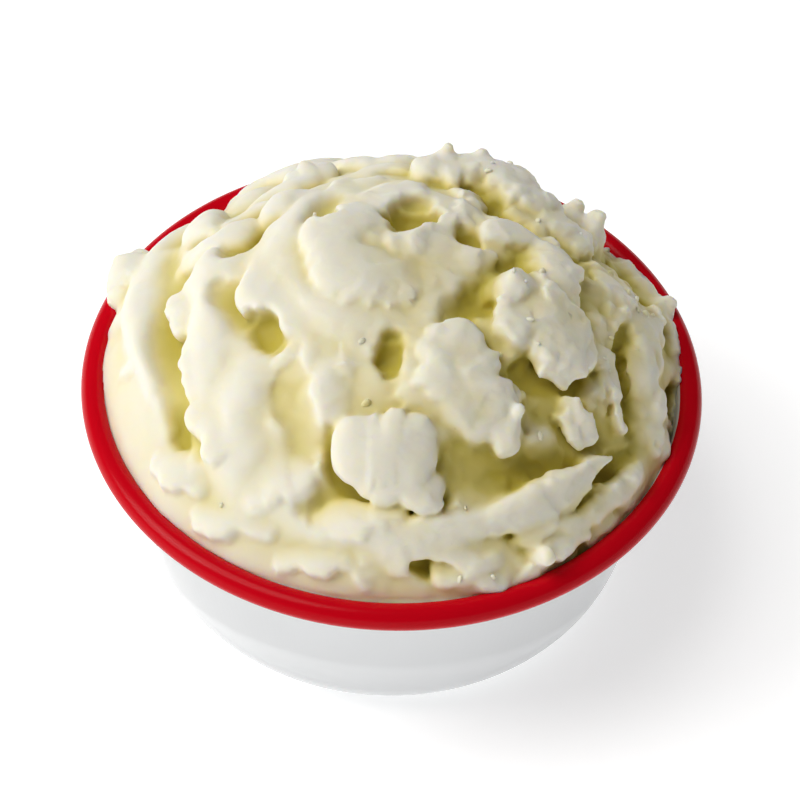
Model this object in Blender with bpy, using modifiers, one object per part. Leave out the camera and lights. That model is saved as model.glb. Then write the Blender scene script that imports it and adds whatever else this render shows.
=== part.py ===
"""Mashed potato heaped in a round enamelled steel bowl with a rolled red rim.

Units are metres, +Z is up, and the origin is at the centre of the bowl's flat base.
"""
import math
import random

import bmesh
import bpy
import numpy as np

MM = 0.001

# Bowl
RIM_RADIUS = 70.0 * MM          # outermost edge of the rolled rim
BEAD_RADIUS = 2.8 * MM          # half the thickness of the rolled rim
BEAD_HEIGHT = 54.0 * MM         # centre of the rolled rim above the base
WALL = 1.0 * MM                 # steel sheet with its enamel
WALL_RADIUS = 65.1 * MM         # outside of the wall, level with the bead's centre
WALL_LEAN = math.radians(8.7)   # how far the wall leans out from upright
CORNER_RADIUS = 15.0 * MM       # outside of the bend between wall and base
CORNER_STEPS = 5
BEAD_STEPS = 10
BOWL_SEGMENTS = 80

# Mash
CONTACT_GAP = 0.45 * MM         # between the mash and the bowl
HEAP_TOP = 92.0 * MM            # height of the plain dome under the folds
HEAP_EDGE = 54.5 * MM           # where the dome meets the wall
HEAP_RADIUS = 63.2 * MM
FRONT_FULLNESS = 0.76           # below 1 the dome has a flat top and steep edges
BACK_FULLNESS = 1.0             # the back runs down straighter
BACK_START = 40.0 * MM          # from here back the dome has its back fullness
SLUMP = 2.0 * MM                # how much lower it lies at its right edge
SLUMP_TURN = 0.25               # how much the back right slumps as well
FOLD_ROUNDNESS = 0.6            # 0.5 is a half ellipse with upright sides, 1 is a soft parabola
FLAKE_SQUARENESS = 3            # 2 is an oval outline, more is nearer a rectangle
EDGE_FADE = 5.0 * MM            # the folds die away over this last stretch before the wall
NORMAL_STEP = 1.0 * MM          # the dome's slope is taken over twice this length
SPHERE_LEVEL = 6
TOP_SHARE = 2.4                 # how much denser the mesh is on the heap than in the bowl
DOME_STEPS = 60
PROFILE_STEP = 0.5 * MM
SOFTENING = 2
SOFTENING_FACTOR = 0.5
FACES_KEPT = 0.29
ARC_STEPS = 12

# Each sweep of the spoon is an arc: start x, start y, heading, turn, length, width, and how far it
# stands above or lies below the plain dome. Lengths are in mm and angles in degrees, 0 along +X and
# 90 along +Y; a turn above 0 is to the left. The five groups are laid and dug one after another.
BROAD_FOLDS = {
    "left shoulder": (-57, 24, -100, 40, 52, 9, 2.4),
    "left band": (-40, 22, -95, 15, 58, 15, 2.4),
    "upper left": (-19, 28, -105, -5, 35, 13, 2.0),
    "middle sweep": (-25, 2, -75, 65, 38, 13, 2.2),
    "back rise": (30, 42, 155, 25, 34, 18, 3.0),
    "right rim fill": (51, 36, -60, -10, 34, 12, 4.1),
    "left rim fill": (-49, 38, -112, 8, 28, 14, 3.4),
    "back left fill": (-39, 49, 22, -12, 28, 13, 4.9),
    "front left": (-33, -22, -85, 10, 32, 15, 2.2),
    "centre left": (-14, -26, -92, 0, 24, 12, 2.0),
    "right shoulder": (43, 18, -60, -20, 32, 14, 2.6),
    "right edge": (54, 14, -80, -20, 34, 10, 2.5),
    "front band": (-30, -50, -15, 15, 60, 14, 2.0),
}
VALLEYS = {
    "left groove": (-51.3, 17, -92, 30, 58, 8.5, 3.3),
    "upper hollow": (-25, 25, 228, 15, 22, 10, 4.2),
    "hook valley": (-37, -4, -70, 50, 22, 10, 2.4),
    "crown groove": (-15, 20, 240, 105, 40, 6.5, 2.5),
    "chunk crevice": (25.5, 5, -108, -25, 26, 8.5, 3.8),
    "under chunk": (23, -25, 8, 15, 20, 9, 3.2),
    "right slit": (49, -4, -85, 10, 22, 8, 3.6),
    "lump groove": (-12, -40, -85, 125, 32, 6, 3.5),
    "long trough": (12, -43, -8, 45, 36, 13, 2.8),
    "band trough": (52, -28, 235, -15, 26, 9, 3.4),
    "front hollow": (-17, -53, -5, 10, 13, 9, 2.2),
    "soft trough": (-21, -29, -85, 15, 16, 8, 1.0),
    "back hollow": (13, 28, -32, -8, 22, 7, 3.0),
    "slope hollow": (30, -29, -10, 20, 22, 11, 2.6),
    "front right hollow": (22, -52, 2, 15, 18, 8, 2.4),
}
LIPS = {
    "crown": (-8, 16, 222, 150, 38, 18, 2.8),
    "hook": (-28, 1, -95, 60, 28, 12, 2.2),
    "long band": (47, -34, 228, -48, 56, 9, 2.8),
    "outer band": (55, -29, 235, -25, 38, 7, 2.4),
    "front edge": (9, -59.5, 4, 12, 16, 6, 2.6),
}
POCKETS = {
    "hook pocket": (-30, -15, -50, 0, 9, 7, 4.0),
    "groove end": (-47, -27, -68, 0, 12, 4.5, 3.3),
    "crown pocket": (2.5, 17.5, -97, 0, 8, 12.5, 6.0),
    "crown notch": (-16, 13, -95, 0, 5, 6, 3.4),
    "crown slit": (13.5, 10, -62, 0, 6, 5.5, 4.6),
    "dark pocket": (38.5, -7, -90, 0, 5, 5.5, 5.6),
    "chunk slit": (31, -20, 22, 0, 9, 3.5, 5.6),
    "middle pocket": (-0.5, -23, -88, 0, 6, 7, 3.6),
    "lump shadow": (-12, -47, -45, 60, 14, 4.5, 4.1),
    "band pocket": (48, -32, 235, 0, 8, 4.5, 4.8),
    "rim hollow": (6, -61, 0, 0, 8, 5, 4.0),
}
LUMPS = {
    "front lump": (-4.5, -43.5, -4, 0, 7, 16, 4.2),
    "front lump end": (-2, -48, -12, 0, 9, 10, 3.2),
    "lobe": (12, -25, -65, 0, 8, 17, 3.6),
    "lobe foot": (15.5, -33.5, -60, 0, 4, 9, 3.0),
    "torn chunk": (27.5, -13.5, -15, 0, 7, 17, 4.2),
    "upper chunk": (20, 10, 5, 0, 9, 7.5, 2.6),
    "right chunk": (33, 6, -85, 0, 11, 12, 3.6),
    "back knob": (7.5, 34, 0, 0, 5, 13, 5.6),
    "back knob point": (8.5, 37, 20, 0, 1, 8, 7.5),
    "back chunk": (16, 37, -32, 0, 14, 15, 7.0),
    "back chunk end": (31, 27, -40, 0, 9, 11, 5.0),
    "right peak": (43, 30, 60, 0, 1, 8, 7.5),
    "rim peak": (58, 17, 40, 0, 2, 7, 4.0),
    "small flake": (22, -36.5, -60, 0, 3, 7, 2.8),
    "white crumb": (38.5, -31, -60, 0, 1.5, 5.5, 2.6),
    "left spill": (-57, 25, -108, 0, 12, 9, 3.2),
}
# Torn flakes lie tilted: x, y, facing, across, along, rise. The edge that faces that way stands
# clear of the heap by the rise and the opposite edge dies away into it.
FLAKES = {
    "chunk top": (33, 11, 30, 12, 9, 3.2),
    "back knob foot": (9, 34, 240, 15, 10, 3.2),
    "back chunk foot": (24, 30, 250, 20, 10, 3.2),
    "back left": (-22, 42, 110, 16, 12, 6.5),
    "slope flake": (42, -13, -40, 9, 12, 2.8),
    "right saddle": (38, 31, 40, 18, 11, 5.0),
    "side flake": (55, 6, 10, 17, 12, 3.6),
    "side lower": (54, -12, 10, 16, 9, 3.2),
    "left spill high": (-51, 32, 130, 13, 11, 2.0),
    "band tip": (35, -51, -60, 15, 7, 3.4),
    "front left plate": (-34, -37, -130, 24, 13, 3.2),
    "lower left plate": (-41, -20, -170, 22, 10, 2.0),
    "left corner plate": (-42, -40, -130, 18, 9, 2.8),
    "low left plate": (-30, -50, -110, 20, 8, 3.0),
    "front left lump": (-23, -48, -80, 17, 11, 3.4),
    "front plate": (-6, -55, -80, 22, 9, 3.2),
    "front middle lump": (4, -56, -70, 14, 8, 3.0),
    "rim plate": (18, -57, -80, 18, 8, 2.8),
}
BACK_SEED = 7
BACK_BEARINGS = (22, 158)       # the far side of the heap, in degrees round from +X
BACK_FOLDS = 12
BACK_SCOOPS = 9
BACK_RING = (32, 58)            # mm out from the middle
BACK_SCATTER = 35               # degrees either side of straight round the heap
BACK_TURN = (-50, 60)
BACK_LENGTH = (12, 28)
BACK_FOLD_SIZE = ((8, 13), (2.0, 3.5))    # widths and heights
BACK_SCOOP_SIZE = ((5, 9), (2.5, 4.0))    # widths and depths


def clear_scene():
    for thing in list(bpy.data.objects):
        bpy.data.objects.remove(thing, do_unlink=True)


def make_material(name, colour, roughness, metallic=0.0):
    material = bpy.data.materials.new(name)
    material.use_nodes = True
    shader = material.node_tree.nodes["Principled BSDF"]
    shader.inputs["Base Color"].default_value = (*colour, 1.0)
    shader.inputs["Roughness"].default_value = roughness
    shader.inputs["Metallic"].default_value = metallic
    material.diffuse_color = (*colour, 1.0)
    return material


def arc(centre, radius, start, end, steps):
    """Points of an arc in the profile's plane, as (radius, height)."""
    angles = np.radians(np.linspace(start, end, steps + 1))
    return [(centre[0] + radius * math.cos(a), centre[1] + radius * math.sin(a)) for a in angles]


def wall_profile(inset):
    """Radius and height down the wall, round the corner and in to the axis, inset from the outside."""
    lean = math.degrees(WALL_LEAN)
    corner = CORNER_RADIUS
    slope = math.tan(WALL_LEAN)
    # The wall's line is r = foot + slope * z, and the corner's centre lies one radius in from it.
    foot = WALL_RADIUS - slope * BEAD_HEIGHT
    centre = (foot + slope * corner - corner / math.cos(WALL_LEAN), corner)
    bend = arc(centre, corner - inset, -lean, -90, CORNER_STEPS)
    return bend + [(0.0, inset)]


def wall_at(height, inset):
    """Radius of the straight wall at a height, inset from its outside."""
    return WALL_RADIUS - (BEAD_HEIGHT - height) * math.tan(WALL_LEAN) - inset / math.cos(WALL_LEAN)


def turned(name, profile, segments, collection):
    """A closed solid turned about Z from a profile whose two ends lie on the axis."""
    mesh = bpy.data.meshes.new(name)
    points = [(radius, 0.0, height) for radius, height in profile]
    edges = [(i, i + 1) for i in range(len(points) - 1)]
    mesh.from_pydata(points, edges, [])
    thing = bpy.data.objects.new(name, mesh)
    collection.objects.link(thing)
    screw = thing.modifiers.new("Turn", "SCREW")
    screw.axis = "Z"
    screw.steps = segments
    screw.render_steps = segments
    screw.use_merge_vertices = True
    screw.merge_threshold = 0.00001
    screw.use_smooth_shade = True
    return thing


def make_bowl(collection):
    """A pressed sheet-steel bowl whose edge is rolled outwards into a bead."""
    bead = (RIM_RADIUS - BEAD_RADIUS, BEAD_HEIGHT)
    inner_start = 175.0
    outer_end = -112.0
    inner = wall_profile(WALL)[::-1]
    outer = wall_profile(0.0)
    roll = arc(bead, BEAD_RADIUS, inner_start, outer_end, BEAD_STEPS)
    below_bead = BEAD_HEIGHT - BEAD_RADIUS
    roll_foot = (wall_at(below_bead, 0.0), below_bead)
    bowl = turned("bowl", inner + roll + [roll_foot] + outer, BOWL_SEGMENTS, collection)
    bowl.data.materials.append(make_material("white enamel", (0.86, 0.87, 0.88), 0.18))
    return bowl


def sweep_points(sweep):
    """Points along one sweep of the spoon, in mm."""
    x, y, heading, turn, length = sweep[:5]
    step = length / ARC_STEPS
    points = [(x, y)]
    for i in range(ARC_STEPS):
        angle = math.radians(heading + turn * (i + 0.5) / ARC_STEPS)
        x += step * math.cos(angle)
        y += step * math.sin(angle)
        points.append((x, y))
    return np.array(points)


def distance_to(points, x, y):
    """Distance in mm from each place to the nearest point of a chain of short segments."""
    nearest = np.full(x.shape, 1e9)
    for (ax, ay), (bx, by) in zip(points[:-1], points[1:]):
        dx, dy = bx - ax, by - ay
        along = ((x - ax) * dx + (y - ay) * dy) / (dx * dx + dy * dy)
        along = np.clip(along, 0.0, 1.0)
        nearest = np.minimum(nearest, np.hypot(x - ax - along * dx, y - ay - along * dy))
    return nearest


def back_sweeps(count, widths, heights):
    """Sweeps round the far side of the heap, mostly along it, with even spacing and some scatter."""
    first, last = BACK_BEARINGS
    sweeps = []
    for i in range(count):
        bearing = first + (last - first) * (i + random.random()) / count
        radius = random.uniform(*BACK_RING)
        x = radius * math.cos(math.radians(bearing))
        y = radius * math.sin(math.radians(bearing))
        heading = bearing + 90 + random.uniform(-BACK_SCATTER, BACK_SCATTER)
        sweeps.append((x, y, heading, random.uniform(*BACK_TURN), random.uniform(*BACK_LENGTH),
                       random.uniform(*widths), random.uniform(*heights)))
    return sweeps


def sweep_share(sweep, x, y):
    """1 along the middle of a sweep, 0 at its edge and beyond."""
    across = distance_to(sweep_points(sweep), x, y) / (0.5 * sweep[5])
    return np.clip(1.0 - across ** 2, 0.0, 1.0)


def laid(raised, sweeps, x, y):
    """Lay folds of mash over the heap."""
    for sweep in sweeps:
        share = sweep_share(sweep, x, y)
        raised = np.where(share > 0, np.maximum(raised, sweep[6] * share ** FOLD_ROUNDNESS), raised)
    return raised


def dug(raised, sweeps, x, y):
    """Dig hollows in the heap."""
    for sweep in sweeps:
        share = sweep_share(sweep, x, y)
        raised = np.where(share > 0, np.minimum(raised, -sweep[6] * share), raised)
    return raised


def flaked(raised, flakes, x, y):
    """Lay tilted flakes on the heap."""
    for centre_x, centre_y, facing, across, along, rise in flakes:
        ahead = math.radians(facing)
        dx, dy = x - centre_x, y - centre_y
        forward = (dx * math.cos(ahead) + dy * math.sin(ahead)) / (0.5 * along)
        sideways = (dy * math.cos(ahead) - dx * math.sin(ahead)) / (0.5 * across)
        size = np.abs(forward) ** FLAKE_SQUARENESS + np.abs(sideways) ** FLAKE_SQUARENESS
        top = 0.5 * rise * (1.0 + forward)
        raised = np.where(size < 1.0, np.maximum(raised, top), raised)
    return raised


def relief(x, y):
    """Height in mm that the spoon's work adds to the dome at each place."""
    random.seed(BACK_SEED)
    back_folds = back_sweeps(BACK_FOLDS, *BACK_FOLD_SIZE)
    back_scoops = back_sweeps(BACK_SCOOPS, *BACK_SCOOP_SIZE)
    raised = laid(np.zeros_like(x), BROAD_FOLDS.values(), x, y)
    raised = dug(raised, list(VALLEYS.values()) + back_scoops, x, y)
    raised = laid(raised, list(LIPS.values()) + back_folds, x, y)
    raised = dug(raised, POCKETS.values(), x, y)
    raised = flaked(raised, FLAKES.values(), x, y)
    return laid(raised, LUMPS.values(), x, y)


def dome_height(x, y):
    """Height of the plain dome at each place."""
    toward_back = np.clip(y / BACK_START, 0.0, 1.0)
    blend = toward_back ** 2 * (3.0 - 2.0 * toward_back)
    fullness = FRONT_FULLNESS + (BACK_FULLNESS - FRONT_FULLNESS) * blend
    inside = np.clip(1.0 - (x * x + y * y) / HEAP_RADIUS ** 2, 0.0, 1.0)
    slump = SLUMP * np.clip((x + SLUMP_TURN * y) / HEAP_RADIUS, 0.0, 1.0) ** 2
    return HEAP_EDGE + (HEAP_TOP - HEAP_EDGE) * inside ** fullness - slump * inside


def dome_normal(x, y):
    """Direction square to the plain dome at each place, with its steepest edge left out."""
    step = NORMAL_STEP
    inward = np.minimum(1.0, (HEAP_RADIUS - 2.0 * step) / np.maximum(np.hypot(x, y), MM))
    x, y = x * inward, y * inward
    slope_x = (dome_height(x + step, y) - dome_height(x - step, y)) / (2.0 * step)
    slope_y = (dome_height(x, y + step) - dome_height(x, y - step)) / (2.0 * step)
    normal = np.array([-slope_x, -slope_y, np.ones_like(x)])
    return normal / np.linalg.norm(normal, axis=0)


def heap_profile():
    """Radius and height from the heap's top, over the dome and down the inside of the bowl."""
    radius = HEAP_RADIUS * np.sin(np.linspace(0.0, math.pi / 2, DOME_STEPS))
    dome = np.column_stack([radius, dome_height(np.zeros_like(radius), -radius)])
    return dome, np.array(wall_profile(WALL + CONTACT_GAP))


def spread_by_area(profile, weight):
    """Running weighted area of the surface that a profile turns, one value a point."""
    steps = np.hypot(np.diff(profile[:, 0]), np.diff(profile[:, 1]))
    middle = 0.5 * (profile[1:, 0] + profile[:-1, 0])
    return np.concatenate([[0.0], np.cumsum(steps * middle * weight)])


def refined(profile, step):
    """The same profile with points at an even step along it."""
    run = np.concatenate([[0.0], np.cumsum(np.hypot(np.diff(profile[:, 0]), np.diff(profile[:, 1])))])
    even = np.linspace(0.0, run[-1], max(2, int(run[-1] / step)))
    return np.column_stack([np.interp(even, run, profile[:, 0]), np.interp(even, run, profile[:, 1])])


def make_mash(collection):
    """One heap that fills the bowl, with the spoon's folds on top."""
    shape = bmesh.new()
    bmesh.ops.create_icosphere(shape, subdivisions=SPHERE_LEVEL, radius=1.0)
    mesh = bpy.data.meshes.new("mash")
    shape.to_mesh(mesh)
    shape.free()
    count = len(mesh.vertices)
    sphere = np.empty(count * 3)
    mesh.vertices.foreach_get("co", sphere)
    sphere = sphere.reshape(-1, 3)

    # The ball's height picks the place along the profile, so the mesh stays even over the whole heap.
    dome, bed = heap_profile()
    dome, bed = refined(dome, PROFILE_STEP), refined(bed, PROFILE_STEP)
    dome_area = spread_by_area(dome, TOP_SHARE)
    bed_area = spread_by_area(np.vstack([dome[-1:], bed]), 1.0) + dome_area[-1]
    profile = np.vstack([dome, bed])
    area = np.concatenate([dome_area, bed_area[1:]])
    share = 0.5 * (1.0 - sphere[:, 2]) * area[-1]
    radius = np.interp(share, area, profile[:, 0])
    height = np.interp(share, area, profile[:, 1])
    bearing = np.arctan2(sphere[:, 1], sphere[:, 0])
    x, y = radius * np.cos(bearing), radius * np.sin(bearing)

    # Folds stand square to the dome and fade out just above the place where it meets the wall.
    on_top = share < dome_area[-1]
    fade = np.clip((HEAP_RADIUS - radius) / EDGE_FADE, 0.0, 1.0) * on_top
    lift = relief(x / MM, y / MM) * MM * fade
    normal = dome_normal(x, y)
    height = np.where(on_top, dome_height(x, y), height) + lift * normal[2]
    x, y = x + lift * normal[0], y + lift * normal[1]
    inward = np.minimum(1.0, HEAP_RADIUS / np.maximum(np.hypot(x, y), MM))
    x, y = x * inward, y * inward
    mesh.vertices.foreach_set("co", np.column_stack([x, y, height]).ravel())
    mesh.shade_smooth()
    mesh.update()

    mash = bpy.data.objects.new("mash", mesh)
    collection.objects.link(mash)
    soften = mash.modifiers.new("Soften", "SMOOTH")
    soften.factor = SOFTENING_FACTOR
    soften.iterations = SOFTENING
    thin = mash.modifiers.new("Fewer faces", "DECIMATE")
    thin.ratio = FACES_KEPT
    mesh.materials.append(make_material("mashed potato", (0.86, 0.80, 0.62), 0.55))
    return mash


def main():
    clear_scene()
    collection = bpy.data.collections.new("mashed potato side")
    bpy.context.scene.collection.children.link(collection)
    make_bowl(collection)
    make_mash(collection)


main()
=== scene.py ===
import math
import random

import bmesh
import bpy
import numpy as np
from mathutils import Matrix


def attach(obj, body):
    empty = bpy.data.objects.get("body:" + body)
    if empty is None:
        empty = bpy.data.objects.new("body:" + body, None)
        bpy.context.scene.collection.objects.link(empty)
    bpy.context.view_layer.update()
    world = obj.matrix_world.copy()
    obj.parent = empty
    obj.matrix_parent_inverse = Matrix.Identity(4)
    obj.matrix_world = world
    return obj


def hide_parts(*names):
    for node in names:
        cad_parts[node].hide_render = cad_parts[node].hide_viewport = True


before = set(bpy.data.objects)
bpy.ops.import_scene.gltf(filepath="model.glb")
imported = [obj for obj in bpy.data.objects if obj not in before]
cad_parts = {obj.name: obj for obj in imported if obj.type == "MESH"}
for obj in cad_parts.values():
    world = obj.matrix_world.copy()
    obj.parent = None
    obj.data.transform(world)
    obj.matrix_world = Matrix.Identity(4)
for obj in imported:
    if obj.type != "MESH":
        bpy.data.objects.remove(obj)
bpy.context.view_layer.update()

import openvdb
from mathutils import Matrix, Vector

mm = 0.001


# ---------------------------------------------------------------- helpers

def srgb(code):  # "#RRGGBB" to linear
    parts = [int(code[i:i + 2], 16) / 255 for i in (1, 3, 5)]
    return tuple(c / 12.92 if c <= 0.04045 else ((c + 0.055) / 1.055) ** 2.4 for c in parts) + (1.0,)


def addNode(tree, kind, settings=None, links=None, values=None):
    node = tree.nodes.new(kind)
    for key, value in (settings or {}).items():
        setattr(node, key, value)
    for key, value in (values or {}).items():
        node.inputs[key].default_value = value
    for key, source in (links or {}).items():
        tree.links.new(source, node.inputs[key])
    return node


def link(piece):
    bpy.context.scene.collection.objects.link(piece)
    return piece


# ---------------------------------------------------------------- camera, floor, light

view = {
    "lens": 80.0,
    "elevation": 48.85,   # degrees above the table
    "roll": 2.76,
    "distance": 411.0,    # mm from the aim point
    "aim": (1.95, 0.0, 43.8),
}


def makeCamera():
    up = math.radians(view["elevation"])
    roll = math.radians(view["roll"])
    forward = Vector((0, math.cos(up), -math.sin(up)))
    right = Vector((1, 0, 0))
    top = right.cross(forward)
    side = right * math.cos(roll) + top * math.sin(roll)
    head = top * math.cos(roll) - right * math.sin(roll)
    place = Vector(view["aim"]) * mm - forward * view["distance"] * mm
    data = bpy.data.cameras.new("camera")
    data.lens = view["lens"]
    data.sensor_width = 36
    data.clip_start = 0.01
    camera = link(bpy.data.objects.new("camera", data))
    turn = Matrix((side, head, -forward)).transposed().to_4x4()
    camera.matrix_world = Matrix.Translation(place) @ turn
    bpy.context.scene.camera = camera


studio = {
    "key": ((-0.72, -0.08, 0.64), 0.6, 4.0),   # towards the light, its width in m, its power
    "top": ((-0.48, -0.06, 1.0), 0.8, 6.0),
    "lampDistance": 1.1,  # m
    "skyLow": 1.02,       # brightness of the pale sweep at the horizon
    "skyLeft": 0.10,      # overhead towards the lit side
    "skyRight": 0.03,     # and away from it
    "glowNear": 0.50,     # painted light: the paper glows by itself, less under the bowl and more away from it
    "glowFar": 0.60,
}


def makeStudio():
    for name in ("key", "top"):
        way, size, power = studio[name]
        data = bpy.data.lights.new(name, "AREA")
        data.shape = "DISK"
        data.size = size
        data.energy = power
        data.color = (1.0, 0.995, 0.975)
        lamp = link(bpy.data.objects.new(name, data))
        toLight = Vector(way).normalized()
        lamp.location = Vector((0, 0, 0.06)) + toLight * studio["lampDistance"]
        lamp.rotation_euler = toLight.to_track_quat("Z", "Y").to_euler()

    world = bpy.data.worlds.new("studio")
    world.use_nodes = True
    tree = world.node_tree
    background = tree.nodes["Background"]
    coordinates = addNode(tree, "ShaderNodeTexCoord")
    way = addNode(tree, "ShaderNodeSeparateXYZ", links={0: coordinates.outputs["Generated"]})
    lit = addNode(tree, "ShaderNodeVectorMath", {"operation": "DOT_PRODUCT"},
                  {0: coordinates.outputs["Generated"]})
    lit.inputs[1].default_value = (-0.5, 0.0, 0.87)
    overhead = addNode(tree, "ShaderNodeMapRange", links={"Value": lit.outputs["Value"]},
                       values={"From Min": -0.2, "From Max": 1.0, "To Min": studio["skyRight"],
                               "To Max": studio["skyLeft"]})
    fade = addNode(tree, "ShaderNodeMapRange", {"interpolation_type": "SMOOTHSTEP"},
                   {"Value": way.outputs["Z"], "To Max": overhead.outputs[0]},
                   {"From Min": 0.10, "From Max": 0.30, "To Min": studio["skyLow"]})
    tree.links.new(fade.outputs[0], background.inputs["Strength"])
    background.inputs["Color"].default_value = srgb("#FCFDFF")
    bpy.context.scene.world = world
    bpy.context.scene.view_settings.view_transform = "Standard"

    mesh = bpy.data.meshes.new("floor")
    reach = 6.0
    mesh.from_pydata([(-reach, -reach, -0.0002), (reach, -reach, -0.0002),
                      (reach, reach, -0.0002), (-reach, reach, -0.0002)], [], [(0, 1, 2, 3)])
    floor = link(bpy.data.objects.new("floor", mesh))
    paper = bpy.data.materials.new("white paper sweep")
    paper.use_nodes = True
    shader = paper.node_tree.nodes["Principled BSDF"]
    shader.inputs["Base Color"].default_value = srgb("#E9E9E9")
    shader.inputs["Roughness"].default_value = 0.9
    shader.inputs["Specular IOR Level"].default_value = 0.1
    # Painted light: the paper glows by itself, weaker near the bowl and stronger beyond it, so the bowl's cast shadow
    # fades out.
    shader.inputs["Emission Color"].default_value = (1, 1, 1, 1)
    place = addNode(paper.node_tree, "ShaderNodeTexCoord").outputs["Object"]
    away = addNode(paper.node_tree, "ShaderNodeVectorMath", {"operation": "LENGTH"}, {0: place})
    glow = addNode(paper.node_tree, "ShaderNodeMapRange", {"interpolation_type": "SMOOTHSTEP"},
                   {"Value": away.outputs["Value"]},
                   {"From Min": 0.062, "From Max": 0.098, "To Min": studio["glowNear"],
                    "To Max": studio["glowFar"]})
    paper.node_tree.links.new(glow.outputs[0], shader.inputs["Emission Strength"])
    mesh.materials.append(paper)


# ---------------------------------------------------------------- bowl

bowl = {
    "rimRadius": 70.0,
    "beadRadius": 2.8,
    "beadHeight": 54.0,
    "wall": 1.0,
    "wallRadius": 65.1,   # outside of the wall, level with the bead's centre
    "wallLean": 8.7,      # degrees out from upright
    "corner": 15.0,
    "segments": 256,
}


def arc(centre, radius, start, end, steps):
    angles = np.radians(np.linspace(start, end, steps + 1))
    return [(centre[0] + radius * math.cos(a), centre[1] + radius * math.sin(a)) for a in angles]


def wallRadius(height, inset):
    lean = math.radians(bowl["wallLean"])
    fall = (bowl["beadHeight"] - height) * math.tan(lean)
    return bowl["wallRadius"] - fall - inset / math.cos(lean)


def wallProfile(inset):  # from the top of the bend in to the axis
    lean = math.radians(bowl["wallLean"])
    corner = bowl["corner"]
    foot = bowl["wallRadius"] - math.tan(lean) * bowl["beadHeight"]
    centre = (foot + math.tan(lean) * corner - corner / math.cos(lean), corner)
    bend = arc(centre, corner - inset, -bowl["wallLean"], -90, 14)
    return bend + [(bend[-1][0] * f, inset) for f in (0.8, 0.5, 0.2, 0.0)]


def enamelMaterial():
    # Vitreous enamel fired on pressed steel: a glassy coat, slightly wavy, pure white with a
    # poppy red band brushed over the rolled rim.
    material = bpy.data.materials.new("vitreous enamel")
    material.use_nodes = True
    tree = material.node_tree
    shader = tree.nodes["Principled BSDF"]
    place = addNode(tree, "ShaderNodeTexCoord").outputs["Object"]
    split = addNode(tree, "ShaderNodeSeparateXYZ", links={0: place})
    flat = addNode(tree, "ShaderNodeCombineXYZ", links={0: split.outputs[0], 1: split.outputs[1]})
    radius = addNode(tree, "ShaderNodeVectorMath", {"operation": "LENGTH"}, {0: flat.outputs[0]})
    outward = addNode(tree, "ShaderNodeMath", {"operation": "SUBTRACT"}, {0: radius.outputs["Value"]},
                      {1: (bowl["rimRadius"] - bowl["beadRadius"]) * mm})
    upward = addNode(tree, "ShaderNodeMath", {"operation": "SUBTRACT"}, {0: split.outputs[2]},
                     {1: bowl["beadHeight"] * mm})
    fromBead = addNode(tree, "ShaderNodeCombineXYZ", links={0: outward.outputs[0], 1: upward.outputs[0]})
    # The red ends on a slightly wavy line low on the bead's inner side and under it.
    wave = addNode(tree, "ShaderNodeTexNoise", links={"Vector": place}, values={"Scale": 60.0, "Detail": 2.0})
    tilt = addNode(tree, "ShaderNodeVectorMath", {"operation": "DOT_PRODUCT"}, {0: fromBead.outputs[0]})
    tilt.inputs[1].default_value = (0.93, 0.36, 0.0)
    edge = addNode(tree, "ShaderNodeMath", {"operation": "MULTIPLY_ADD"}, {0: wave.outputs[0]},
                   {1: 0.8 * mm, 2: -2.1 * mm})
    over = addNode(tree, "ShaderNodeMath", {"operation": "SUBTRACT"},
                   {0: tilt.outputs["Value"], 1: edge.outputs[0]})
    band = addNode(tree, "ShaderNodeMapRange", {}, {"Value": over.outputs[0]},
                   {"From Min": -0.05 * mm, "From Max": 0.05 * mm})
    near = addNode(tree, "ShaderNodeVectorMath", {"operation": "LENGTH"}, {0: fromBead.outputs[0]})
    onBead = addNode(tree, "ShaderNodeMapRange", {}, {"Value": near.outputs["Value"]},
                     {"From Min": (bowl["beadRadius"] + 0.25) * mm, "From Max": (bowl["beadRadius"] + 0.15) * mm})
    red = addNode(tree, "ShaderNodeMath", {"operation": "MULTIPLY"}, {0: band.outputs[0], 1: onBead.outputs[0]})
    tint = addNode(tree, "ShaderNodeMix", {"data_type": "RGBA"}, {"Factor": red.outputs[0]})
    tint.inputs["A"].default_value = srgb("#E4E6E7")
    tint.inputs["B"].default_value = srgb("#CC0418")
    tree.links.new(tint.outputs["Result"], shader.inputs["Base Color"])
    shader.inputs["Roughness"].default_value = 0.18
    shader.inputs["IOR"].default_value = 1.52
    shader.inputs["Specular IOR Level"].default_value = 0.08
    ripple = addNode(tree, "ShaderNodeTexNoise", links={"Vector": place}, values={"Scale": 110.0, "Detail": 2.0})
    bump = addNode(tree, "ShaderNodeBump", links={"Height": ripple.outputs[0]},
                   values={"Strength": 0.25, "Distance": 0.12 * mm})
    tree.links.new(bump.outputs[0], shader.inputs["Normal"])
    return material


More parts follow.
